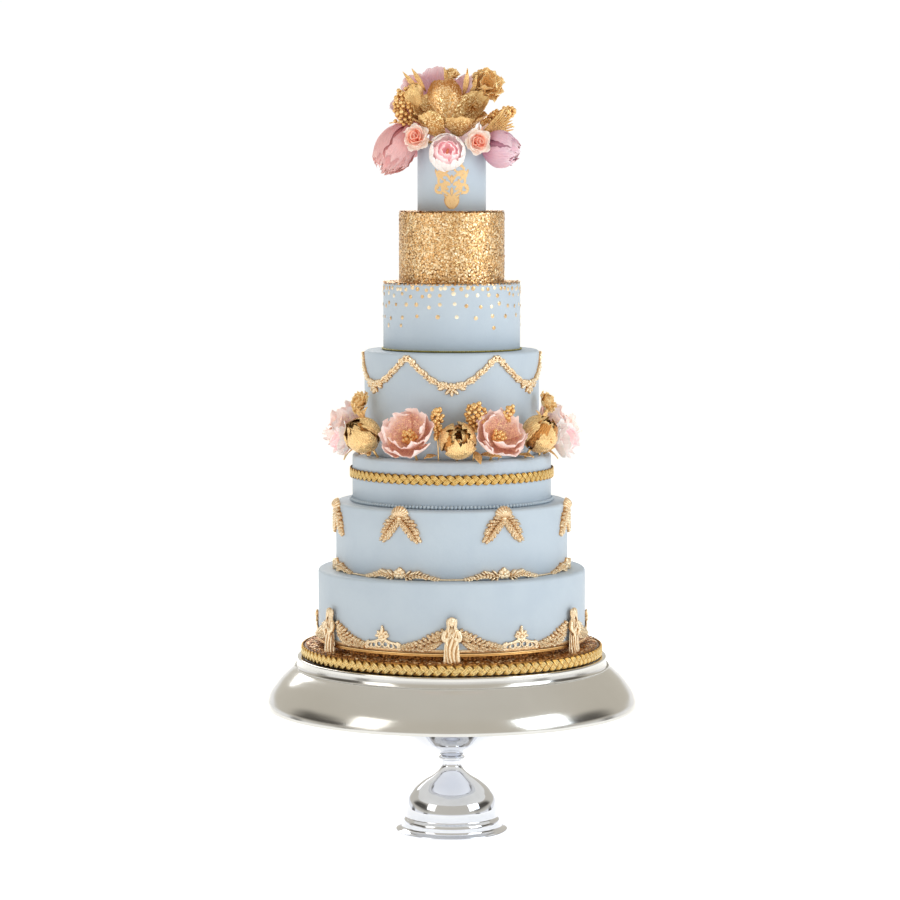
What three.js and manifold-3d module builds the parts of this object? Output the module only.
// A seven-tier quinceanera cake on its silver pedestal stand, with sugar flowers in a
// ring round the fourth tier and in a bouquet on top. Millimetres, +Z up, the middle of
// the foot's underside at the origin, the front towards -Y. Azimuths are in degrees from
// the front, growing towards +X.

import * as THREE from 'three';
import { mergeVertices } from 'three/addons/utils/BufferGeometryUtils.js';
import Module from 'manifold-3d';

const wasm = await Module();
wasm.setup();

// ---------------------------------------------------------------- driving dimensions

const GAP = 0.3; // clearance between pieces that touch
const FLATS = 40; // flats round a tier and round the rings that hug it
const ROUNDING = 5; // radius of a tier's top edge

const FOOT = { radius: 88, band: 77, bandTop: 19, dome: 73, neck: 16, neckHeight: 112 };
const PLATEAU = { radius: 292, bottom: 198, collar: 244, collarFoot: 262, top: 279.5 };
const BOARD = { radius: 229, bottom: 279.8, top: 298, spacer: 196, spacerTop: 306.2 };
const CARD = { radius: 211.5, bottom: 306.5, top: 311 };

// Radius and heights of the tiers, the bottom one last, as on the cake.
const TIERS = {
  tier_1: { radius: 53.3, bottom: 975, top: 1080 },
  tier_2: { radius: 81.8, bottom: 865, top: 975 },
  tier_3: { radius: 106.9, bottom: 760, top: 865 },
  tier_4: { radius: 136.5, bottom: 598, top: 760 },
  tier_5: { radius: 155.6, bottom: 524, top: 598 },
  tier_6: { radius: 181.5, bottom: 418, top: 524 },
  tier_7: { radius: 209.5, bottom: 311, top: 418 },
};

const BRAID = { bottom: 561, top: 577, proud: 4 }; // round tier 5
const BEADS = { size: 5.6, proud: 4.6 }; // border at tier 5's foot
const CORD = { height: 3, proud: 2.6 }; // at tier 3's foot
const DOT = { radius: 2.9, proud: 1.1, buried: 1.2, sides: 5 };
// Rows of gold dots under tier 3's top edge: depth below the top and number round it.
const DOT_ROWS = [
  { drop: 11, count: 18 },
  { drop: 20, count: 12 },
  { drop: 33, count: 8 },
];

const SWAG = { units: 6, trough: 709, peak: 752, height: 8, proud: 4 };
const MEDALLION = { height: 22, proud: 8 };
const GARLAND = { units: 7, tail: 3, spray: 17, rosette: 19, proud: 5 };
const LACE = { units: 6, ribbon: 6, acanthus: 32, crest: 38, proud: 4.5 };
const WING = { units: 7, middle: 522, proud: 4 };
const ANGEL = { units: 6, height: 71, back: 3.8 };

const STEM = 2.2; // radius of a flower's wired stem
const RING_LEDGE = TIERS.tier_5.top; // the ring flowers' stems stand on it
const RING_ANCHOR = 145; // radius at which they do
const BOUQUET_LEDGE = TIERS.tier_1.top;

// ------------------------------------------------------------------------- materials

const FINISH = {
  silver: { color: 0xc4bfb6, roughness: 0.18, metalness: 1 },
  fondant: { color: 0xbecad6, roughness: 0.55, metalness: 0 },
  sequins: { color: 0xd8b083, roughness: 0.3, metalness: 0.9 },
  braid: { color: 0xc8a050, roughness: 0.4, metalness: 0.7 },
  ornament: { color: 0xddb283, roughness: 0.38, metalness: 0.7 },
  goldPetal: { color: 0xc99055, roughness: 0.4, metalness: 0.6 },
  glitterPink: { color: 0xd89e86, roughness: 0.45, metalness: 0.3 },
  pink: { color: 0xe3a7af, roughness: 0.6, metalness: 0 },
  palePink: { color: 0xe6cbcb, roughness: 0.6, metalness: 0 },
  mauve: { color: 0xd8b0c8, roughness: 0.6, metalness: 0 },
  cream: { color: 0xebc9b4, roughness: 0.6, metalness: 0 },
  pearl: { color: 0xe0b98a, roughness: 0.25, metalness: 0.6 },
};

// ------------------------------------------------------------------- geometry helpers

const radians = THREE.MathUtils.degToRad;

/** A point at an azimuth and radius round the cake's axis. */
function around(azimuth, radius, height) {
  const turn = radians(azimuth);
  return new THREE.Vector3(radius * Math.sin(turn), -radius * Math.cos(turn), height);
}

/** The geometry as one indexed surface whose shared corners are merged. */
function welded(geometry) {
  const bare = geometry.clone();
  bare.deleteAttribute('normal');
  bare.deleteAttribute('uv');
  return mergeVertices(bare, 1e-3);
}

/** A closed geometry as a solid that can be joined and cut. */
function solidOf(geometry) {
  const surface = welded(geometry);
  const vertProperties = Float32Array.from(surface.attributes.position.array);
  const triVerts = Uint32Array.from(surface.index.array);
  const solid = new wasm.Manifold(new wasm.Mesh({ numProp: 3, vertProperties, triVerts }));
  if (solid.volume() > 0) return solid;
  triVerts.reverse();
  return new wasm.Manifold(new wasm.Mesh({ numProp: 3, vertProperties, triVerts }));
}

function geometryOf(solid) {
  const { vertProperties, triVerts } = solid.getMesh();
  const geometry = new THREE.BufferGeometry();
  geometry.setAttribute('position', new THREE.BufferAttribute(vertProperties, 3));
  geometry.setIndex(new THREE.BufferAttribute(triVerts, 1));
  return geometry;
}

function joined(geometries) {
  return geometries.map(solidOf).reduce((whole, piece) => whole.add(piece));
}

/** The geometry, free of hollow creases, with its surface moved outwards by a distance. */
function swollen(source, distance) {
  const geometry = welded(source);
  geometry.computeVertexNormals();
  const { position, normal } = geometry.attributes;
  for (let i = 0; i < position.count; i += 1) {
    position.setXYZ(
      i,
      position.getX(i) + distance * normal.getX(i),
      position.getY(i) + distance * normal.getY(i),
      position.getZ(i) + distance * normal.getZ(i),
    );
  }
  return geometry;
}

/** The largest piece of the solid once the others are cut away from it with a gap. */
function clearOf(solid, others) {
  const cut = others.reduce((rest, other) => rest.subtract(other), solid);
  const pieces = cut.decompose();
  return pieces.reduce((most, piece) => (piece.volume() > most.volume() ? piece : most));
}

/** A profile of [radius, height] points turned round the cake's axis. */
function turned(profile, flats = FLATS) {
  const points = profile.map(([radius, height]) => new THREE.Vector2(radius, height));
  return new THREE.LatheGeometry(points, flats).rotateX(Math.PI / 2);
}

/** A closed ring of the given section, listed as [radius, height] points. */
function ring(section, flats = FLATS) {
  return turned([...section, section[0]], flats);
}

/** Moves every vertex of a geometry to where `place` puts its surface coordinates. */
function shaped(geometry, place) {
  const { position, uv } = geometry.attributes;
  for (let i = 0; i < position.count; i += 1) {
    const { x, y, z } = place(uv.getX(i), uv.getY(i));
    position.setXYZ(i, x, y, z);
  }
  return geometry;
}

/**
 * A closed body of rings from its tip to its foot. `place(turn, row)` gives the point at
 * an angle on a row; rows 0 and `rows` are single points.
 */
function stacked(columns, rows, place) {
  return shaped(new THREE.SphereGeometry(1, columns, rows), (u, v) => {
    const row = Math.round((1 - v) * rows);
    return place(2 * Math.PI * u, row);
  });
}

/**
 * A relief band on a round wall: `form(offset)` is its low, high and proud in a unit. The
 * first unit's middle lies `start` units from the front.
 */
function reliefBand(wall, units, offsets, form, start = 0) {
  const unit = 360 / units;
  const marks = [...offsets.slice(1, -1).map((o) => -o).reverse(), ...offsets];
  const azimuths = Array.from({ length: units }, (_, n) => marks.map((m) => n * unit + m)).flat();
  const widest = Math.max(...offsets.slice(1).map((offset, n) => offset - offsets[n]));
  const inner = (wall + GAP) / Math.cos(radians(widest / 2)); // its flats stay off the wall
  return shaped(new THREE.TorusGeometry(2, 1, 4, azimuths.length), (u, v) => {
    const column = Math.round(u * azimuths.length) % azimuths.length;
    const azimuth = azimuths[column];
    const { low, high, proud } = form(Math.abs(azimuth - unit * Math.round(azimuth / unit)));
    const third = (high - low) / 3;
    const corner = Math.round(v * 4) % 4;
    const radius = corner === 0 || corner === 3 ? inner : inner + proud;
    const height = [low, low + third, high - third, high][corner];
    return around(azimuth + start * unit, radius, height);
  });
}

/** The straight line through [x, y] points, read at x. */
function along(points, x) {
  const next = Math.max(1, points.findIndex(([at]) => at >= x));
  const [x0, y0] = points[next - 1];
  const [x1, y1] = points[next];
  return THREE.MathUtils.lerp(y0, y1, THREE.MathUtils.clamp((x - x0) / (x1 - x0), 0, 1));
}

const group = new THREE.Group();

function addPiece(name, geometry, finish) {
  const mesh = new THREE.Mesh(geometry, new THREE.MeshStandardMaterial(FINISH[finish]));
  mesh.name = name;
  group.add(mesh);
}

// ------------------------------------------------------------------- stand and board

function pedestal() {
  return turned(
    [
      [0, 0],
      [FOOT.radius, 0],
      [FOOT.radius, 2],
      [FOOT.band, 4],
      [FOOT.band, FOOT.bandTop],
      [FOOT.dome, FOOT.bandTop + 2],
      [FOOT.dome, 38],
      [69, 51],
      [56, 68.5],
      [44, 78],
      [28.5, 87.5],
      [FOOT.neck, 102],
      [FOOT.neck, FOOT.neckHeight],
      [21, FOOT.neckHeight + 3],
      [FOOT.neck, FOOT.neckHeight + 7],
      [60, 143],
      [135, PLATEAU.bottom - GAP],
      [0, PLATEAU.bottom - GAP],
    ],
    28,
  );
}

function plateau() {
  return turned(
    [
      [0, PLATEAU.bottom],
      [PLATEAU.radius - 2, PLATEAU.bottom],
      [PLATEAU.radius, PLATEAU.bottom + 3],
      [289.5, 212],
      [283, 224.5],
      [270, 241],
      [PLATEAU.collar + 3, PLATEAU.collarFoot],
      [PLATEAU.collar - 2, PLATEAU.top],
      [0, PLATEAU.top],
    ],
    52,
  );
}

function board() {
  return turned([
    [0, BOARD.bottom],
    [BOARD.radius, BOARD.bottom],
    [BOARD.radius, BOARD.top],
    [BOARD.spacer, BOARD.top],
    [BOARD.spacer, BOARD.spacerTop],
    [0, BOARD.spacerTop],
  ]);
}

function boardBraid() {
  const inner = BOARD.radius + GAP;
  return ring([
    [inner, BOARD.bottom],
    [inner + 8, BOARD.bottom + 3],
    [inner + 8, BOARD.top - 3],
    [inner, BOARD.top],
  ]);
}

function card() {
  return turned([
    [0, CARD.bottom],
    [CARD.radius, CARD.bottom],
    [CARD.radius, CARD.top],
    [0, CARD.top],
  ]);
}

// ------------------------------------------------------------------------------ tiers

/** A tier's wall and softly rounded top, without the axis point at its foot. */
function tierProfile({ radius, bottom, top }) {
  return [
    [radius, bottom + GAP],
    [radius, top - ROUNDING],
    [radius - ROUNDING * 0.3, top - ROUNDING * 0.3],
    [radius - ROUNDING, top],
    [0, top],
  ];
}

function plainTier(tier) {
  return turned([[0, tier.bottom + GAP], ...tierProfile(tier)]);
}

/** Tier 5 with the border of sugar pearls at its foot, as a ridge of their size. */
function beadedTier(tier) {
  const foot = tier.bottom + GAP;
  const [, ...wall] = tierProfile(tier);
  return turned([
    [0, foot],
    [tier.radius + BEADS.proud - 1.4, foot],
    [tier.radius + BEADS.proud, foot + BEADS.size / 2],
    [tier.radius + BEADS.proud - 1.4, foot + BEADS.size],
    [tier.radius, foot + BEADS.size],
    ...wall,
  ]);
}

/** Tier 3 with its rows of flat gold dots, staggered from row to row. */
function dottedTier(tier) {
  const dots = DOT_ROWS.flatMap(({ drop, count }, row) =>
    Array.from({ length: count }, (_, n) => {
      const azimuth = ((n + 0.5 * (row % 2)) * 360) / count;
      const reach = tier.radius + (DOT.proud - DOT.buried) / 2;
      const { x, y, z } = around(azimuth, reach, tier.top - drop);
      return new THREE.CylinderGeometry(DOT.radius, DOT.radius, DOT.proud + DOT.buried, DOT.sides)
        .rotateZ(radians(azimuth))
        .translate(x, y, z);
    }),
  );
  return geometryOf(joined([plainTier(tier), ...dots]));
}

// --------------------------------------------------------- trims and relief ornaments

function braidBand() {
  const inner = TIERS.tier_5.radius + GAP;
  const outer = inner + BRAID.proud;
  return ring([
    [inner, BRAID.bottom],
    [outer, BRAID.bottom + 4],
    [outer, BRAID.top - 4],
    [inner, BRAID.top],
  ]);
}

function cordLine() {
  const inner = TIERS.tier_3.radius + GAP;
  const foot = TIERS.tier_4.top + GAP;
  return ring([
    [inner, foot],
    [inner + CORD.proud, foot],
    [inner, foot + CORD.height],
  ]);
}

/** Leafy swags hung from six points on tier 4, with a medallion low on each. */
function swagGarland() {
  const reach = 180 / SWAG.units;
  return reliefBand(TIERS.tier_4.radius, SWAG.units, [0, 3.4, 5, 11, 18, 25, reach], (offset) => {
    const middle = SWAG.trough + (SWAG.peak - SWAG.trough) * (offset / reach) ** 2;
    const { height, proud } = offset < 4 ? MEDALLION : SWAG;
    const half = (height / 2) * (offset > 3 && offset < 4 ? 0.75 : 1);
    return { low: middle - half, high: middle + half, proud };
  });
}

/** The garland at tier 6's foot: under each applique a rosette, leaf sprays and thin tails. */
function leafGarland() {
  const reach = 180 / GARLAND.units;
  const foot = TIERS.tier_6.bottom + GAP;
  const tops = [
    [0, GARLAND.rosette],
    [2.4, GARLAND.rosette * 0.85],
    [3.6, GARLAND.spray * 0.7],
    [8, GARLAND.spray],
    [14.8, GARLAND.spray * 0.45],
    [reach, GARLAND.tail],
  ];
  return reliefBand(
    TIERS.tier_6.radius,
    GARLAND.units,
    tops.map(([offset]) => offset),
    (offset) => ({
      low: foot,
      high: foot + along(tops, offset),
      proud: offset < 14 ? GARLAND.proud : 2,
    }),
    0.5,
  );
}

/** The border at tier 7's foot: a scrolled crest in each unit between acanthus sprays. */
function borderLace() {
  const reach = 180 / LACE.units;
  const foot = TIERS.tier_7.bottom + GAP;
  const tops = [
    [0, LACE.ribbon],
    [5, LACE.acanthus],
    [8.5, LACE.acanthus * 0.85],
    [14, LACE.acanthus * 0.55],
    [20, LACE.acanthus * 0.42],
    [21.5, LACE.crest * 0.55],
    [26, LACE.crest * 0.75],
    [28, LACE.crest * 0.8],
    [reach, LACE.crest],
  ];
  return reliefBand(
    TIERS.tier_7.radius,
    LACE.units,
    tops.map(([offset]) => offset),
    (offset) => ({
      low: foot,
      high: foot + along(tops, offset),
      proud: offset < 3 ? 2 : LACE.proud,
    }),
  );
}

/** Half the outline of a winged applique, from the top of its scallop to the notch. */
const WING_OUTLINE = [
  [0, 12.5],
  [8.5, 9.5],
  [12.5, 2],
  [12, -6],
  [24, -10],
  [35, -22],
  [40, -38],
  [37, -49],
  [26, -46],
  [15, -36],
  [8, -22],
  [0, -12],
];

/** A scallop over a pair of feathered wings, each half bent round tier 6's top edge. */
function wingApplique(azimuth) {
  const inner = TIERS.tier_6.radius + 3 * GAP; // its flats stay off the wall
  const halves = [1, -1].map((side) => {
    const outline = WING_OUTLINE.map(([across, up]) => new THREE.Vector2(side * across, up));
    const plate = new THREE.ExtrudeGeometry(new THREE.Shape(outline), {
      depth: WING.proud,
      bevelEnabled: false,
    });
    const { position } = plate.attributes;
    for (let i = 0; i < position.count; i += 1) {
      const turn = azimuth + THREE.MathUtils.radToDeg(position.getX(i) / inner);
      const point = around(turn, inner + position.getZ(i), WING.middle + position.getY(i));
      position.setXYZ(i, point.x, point.y, point.z);
    }
    return plate;
  });
  return geometryOf(joined(halves));
}

// Rows of an angel from the top of the head to the robe's hem: height as a share of the
// whole, half width and depth in front of the flat back.
const ANGEL_ROWS = [
  [1, 0, 4],
  [0.94, 5, 7.5],
  [0.84, 6.5, 8.5],
  [0.75, 4.5, 7],
  [0.71, 8, 6],
  [0.64, 15.5, 8],
  [0.48, 12.5, 9],
  [0.2, 12, 9],
  [0, 13.5, 10.5],
  [0, 0, 4],
];

/** A robed angel standing on the board with its back to the border. */
function angel(azimuth) {
  const foot = BOARD.top + GAP;
  const back = TIERS.tier_7.radius + ANGEL.back;
  const figure = stacked(8, ANGEL_ROWS.length - 1, (turn, row) => {
    const [share, half, depth] = ANGEL_ROWS[row];
    const front = half === 0 ? depth : Math.max(0, Math.cos(turn)) * depth;
    return new THREE.Vector3(half * Math.sin(turn), -back - front, foot + share * ANGEL.height);
  });
  return figure.rotateZ(radians(azimuth));
}

// ---------------------------------------------------------------------- sugar flowers

// Each head is modelled round its own middle and opens towards +Z.

/** An open flower: cupped petals round a domed middle, over a narrow calyx. */
function openHead({ size, petals = 5, cup = 0.36, notch = 0.14 }) {
  const rows = [
    { reach: 0, rise: 0.16 },
    { reach: 0.22, rise: 0.08 },
    { reach: 0.72, rise: 0.06 },
    { reach: 1, rise: cup },
    { reach: 0.66, rise: -0.12 },
    { reach: 0, rise: -0.3 },
  ];
  return stacked(petals * 3, rows.length - 1, (turn, row) => {
    const { reach, rise } = rows[row];
    const lobe = reach > 0.3 ? 1 - notch * (1 - Math.abs(Math.sin((petals * turn) / 2))) : 1;
    const wave = row === 3 ? 0.06 * Math.sin(petals * turn + 1) : 0;
    const radius = size * reach * lobe;
    return new THREE.Vector3(
      radius * Math.cos(turn),
      radius * Math.sin(turn),
      size * (rise + wave),
    );
  });
}

/** A globe-shaped bud whose long petals lean together round a small mouth. */
function globeHead({ size, length = 1.1 }) {
  const rows = [
    { reach: 0, rise: 0.5 },
    { reach: 0.42, rise: 0.9 },
    { reach: 0.86, rise: 0.6 },
    { reach: 1, rise: 0.05 },
    { reach: 0.72, rise: -0.62 },
    { reach: 0, rise: -0.94 },
  ];
  return stacked(9, rows.length - 1, (turn, row) => {
    const { reach, rise } = rows[row];
    const fold = 1 + 0.07 * Math.cos(3 * turn + row);
    const tip = row === 1 ? 1 - 0.1 * (1 - Math.cos(3 * turn)) : 1;
    const radius = size * reach * fold;
    return new THREE.Vector3(
      radius * Math.cos(turn),
      radius * Math.sin(turn),
      size * length * rise * tip,
    );
  });
}

/** A rose of wrapped petals that turn outwards round a tight middle. */
function roseHead({ size, petals = 5 }) {
  const rows = [
    { reach: 0, rise: 0.42 },
    { reach: 0.3, rise: 0.64 },
    { reach: 0.66, rise: 0.42 },
    { reach: 1, rise: 0.22 },
    { reach: 0.86, rise: -0.3 },
    { reach: 0, rise: -0.72 },
  ];
  return stacked(2 * petals, rows.length - 1, (turn, row) => {
    const { reach, rise } = rows[row];
    const wrap = Math.cos(petals * turn + 1.7 * row);
    const radius = size * reach * (1 + 0.07 * wrap);
    return new THREE.Vector3(
      radius * Math.cos(turn),
      radius * Math.sin(turn),
      size * (rise + (reach > 0 ? 0.05 * wrap : 0)),
    );
  });
}

/** A long spray of sugar pearls, as one knobbly cluster. */
function pearlHead({ size, length = 1.3 }) {
  const rows = [
    { reach: 0, rise: 1 },
    { reach: 0.55, rise: 0.8 },
    { reach: 0.95, rise: 0.42 },
    { reach: 0.8, rise: 0 },
    { reach: 0.62, rise: -0.4 },
    { reach: 0.3, rise: -0.8 },
    { reach: 0, rise: -1 },
  ];
  return stacked(8, rows.length - 1, (turn, row) => {
    const { reach, rise } = rows[row];
    const knob = 1 + 0.2 * Math.cos(4 * turn + Math.PI * row);
    const radius = size * reach * knob;
    return new THREE.Vector3(
      radius * Math.cos(turn),
      radius * Math.sin(turn),
      size * length * rise,
    );
  });
}

const HEADS = { open: openHead, globe: globeHead, rose: roseHead, pearls: pearlHead };

/** A straight stem between two points. */
function stem(from, to, radius) {
  const run = to.clone().sub(from);
  const turn = new THREE.Quaternion().setFromUnitVectors(
    new THREE.Vector3(0, 1, 0),
    run.clone().normalize(),
  );
  const middle = from.clone().addScaledVector(run, 0.5);
  return new THREE.CylinderGeometry(radius, radius, run.length(), 4)
    .applyQuaternion(turn)
    .translate(middle.x, middle.y, middle.z);
}

/** The pieces of a flower at their place: its head, and a stem that reaches its anchor. */
function flower({ kind, at, facing, anchor, roll = 0, ...form }) {
  const axis = facing.clone().normalize();
  const turn = new THREE.Quaternion().setFromUnitVectors(new THREE.Vector3(0, 0, 1), axis);
  const head = HEADS[kind](form)
    .rotateZ(radians(roll))
    .applyQuaternion(turn)
    .translate(at.x, at.y, at.z);
  const inside = at.clone().addScaledVector(axis, -0.1 * form.size);
  return [head, stem(anchor, inside, STEM)];
}

/**
 * Adds flowers in turn, each one cut clear of the walls and of those before it, so that
 * neighbours touch and never cross.
 */
function addFlowers(flowers, walls) {
  const placed = walls.map((wall) => solidOf(swollen(wall, GAP)));
  flowers.forEach(({ name, finish, ...plan }) => {
    const pieces = flower(plan);
    addPiece(name, geometryOf(clearOf(joined(pieces), placed)), finish);
    placed.push(joined([...pieces, ...pieces.map((piece) => swollen(piece, GAP))]));
  });
}

/** A flower of the ring: its head's azimuth, radius and height, and how far it looks up. */
function ringFlower(name, kind, finish, size, azimuth, radius, height, lookUp, more = {}) {
  return {
    name,
    kind,
    finish,
    size,
    at: around(azimuth, radius, height),
    facing: around(azimuth + (more.lean ?? 0), Math.cos(radians(lookUp)), Math.sin(radians(lookUp))),
    anchor: around(azimuth, RING_ANCHOR, RING_LEDGE + GAP),
    ...more,
  };
}

/** A flower of the bouquet, set by its place across, in front of the axis and up. */
function topFlower(name, kind, finish, size, place, facing, more = {}) {
  const [across, front, up] = place;
  const at = new THREE.Vector3(across, -front, up);
  const flat = Math.hypot(across, front);
  const reach = Math.min(40, 0.5 * flat) / Math.max(flat, 1);
  return {
    name,
    kind,
    finish,
    size,
    at,
    facing: new THREE.Vector3(facing[0], -facing[1], facing[2]),
    anchor: new THREE.Vector3(across * reach, -front * reach, BOUQUET_LEDGE + GAP),
    ...more,
  };
}

// ------------------------------------------------------------------ the cake, put up

addPiece('stand_pedestal', pedestal(), 'silver');
addPiece('stand_plateau', plateau(), 'silver');
addPiece('cake_board', board(), 'sequins');
addPiece('board_braid', boardBraid(), 'braid');
addPiece('cake_card', card(), 'braid');

Object.entries(TIERS).forEach(([name, tier]) => {
  const builders = { tier_3: dottedTier, tier_5: beadedTier };
  const build = builders[name] ?? plainTier;
  addPiece(name, build(tier), name === 'tier_2' ? 'sequins' : 'fondant');
});

addPiece('braid_band', braidBand(), 'braid');
addPiece('cord_line', cordLine(), 'braid');
addPiece('swag_garland', swagGarland(), 'ornament');
addPiece('leaf_garland', leafGarland(), 'ornament');
addPiece('border_lace', borderLace(), 'ornament');

for (let n = 0; n < WING.units; n += 1) {
  addPiece(`wing_applique_${n + 1}`, wingApplique(((n + 0.5) * 360) / WING.units), 'ornament');
}
for (let n = 0; n < ANGEL.units; n += 1) {
  addPiece(`angel_${n + 1}`, angel((n * 360) / ANGEL.units), 'ornament');
}

addFlowers(
  [
    ringFlower('ring_rose_left', 'rose', 'palePink', 29, -77, 178, 622, 10),
    ringFlower('ring_globe_left', 'globe', 'goldPetal', 30, -51.5, 174, 635, 35),
    ringFlower('ring_open_left', 'open', 'glitterPink', 42.5, -21.5, 177, 634, 12),
    ringFlower('ring_globe_middle', 'globe', 'goldPetal', 30, 3, 175, 631, 25, { length: 1 }),
    ringFlower('ring_open_right', 'open', 'glitterPink', 41.5, 27, 177, 635, 12, { roll: 30 }),
    ringFlower('ring_globe_right', 'globe', 'goldPetal', 31, 51, 174, 637, 50),
    ringFlower('ring_rose_right', 'rose', 'palePink', 35, 79, 184, 622, 12),
    ringFlower('ring_back_open_right', 'open', 'glitterPink', 45, 112, 175, 634, 15),
    ringFlower('ring_back_rose_right', 'rose', 'palePink', 37, 146, 176, 628, 15),
    ringFlower('ring_back_globe', 'globe', 'goldPetal', 32, 180, 175, 634, 30),
    ringFlower('ring_back_rose_left', 'rose', 'palePink', 37, -146, 176, 628, 15),
    ringFlower('ring_back_open_left', 'open', 'glitterPink', 45, -112, 175, 634, 15),
    ringFlower('ring_bud_left', 'rose', 'goldPetal', 21, -63, 159, 683, 25, { petals: 4 }),
    ringFlower('ring_bud_right', 'rose', 'goldPetal', 19, 69, 159, 681, 25, { petals: 4 }),
    ringFlower('ring_pearls_left', 'pearls', 'pearl', 17, -8, 155, 666, 80),
    ringFlower('ring_pearls_right', 'pearls', 'pearl', 18, 14, 155, 671, 80, { length: 1.1 }),
  ],
  [plainTier(TIERS.tier_5), plainTier(TIERS.tier_4)],
);

addFlowers(
  [
    topFlower('top_peony', 'rose', 'palePink', 31, [-7, 74, 1066], [0, 1, 0.1], { petals: 7 }),
    topFlower('top_globe_left', 'globe', 'pink', 32, [-87, 30, 1073], [-0.5, 0.2, -0.85], {
      length: 1.5,
    }),
    topFlower('top_globe_right', 'globe', 'mauve', 31, [78, 36, 1072], [1, 0.3, -0.35]),
    topFlower('top_rose_left', 'rose', 'cream', 20, [-56, 58, 1090], [-0.6, 1, 0.2]),
    topFlower('top_rose_right', 'rose', 'cream', 21, [41, 66, 1081], [0.5, 1, 0.1]),
    topFlower('top_open_middle', 'open', 'goldPetal', 62, [0, 34, 1124], [0, 1, 0.75], {
      notch: 0.3,
      cup: 0.3,
      roll: 18,
    }),
    topFlower('top_open_behind', 'open', 'mauve', 56, [-20, -18, 1162], [-0.2, 0.4, 1], {
      notch: 0.24,
      roll: 36,
    }),
    topFlower('top_ruffle_right', 'open', 'goldPetal', 27, [54, 4, 1170], [0.3, 1, 0.5]),
    topFlower('top_bud_middle', 'rose', 'goldPetal', 14, [2, 6, 1187], [0, 0.6, 1]),
    topFlower('top_pearls_left', 'pearls', 'pearl', 24, [-70, 22, 1130], [-0.2, 0.1, 1], {
      length: 1.5,
    }),
    topFlower('top_pearls_right', 'pearls', 'pearl', 20, [72, 14, 1122], [1, 0.1, 0.45], {
      length: 1.7,
    }),
    topFlower('top_back_globe', 'globe', 'pink', 32, [-66, -60, 1090], [-0.8, -0.8, -0.1]),
    topFlower('top_back_peony', 'rose', 'palePink', 38, [0, -72, 1090], [0, -1, 0.35]),
    topFlower('top_back_rose', 'rose', 'cream', 31, [64, -52, 1094], [0.9, -0.8, 0.3]),
  ],
  [plainTier(TIERS.tier_1)],
);

export default group;
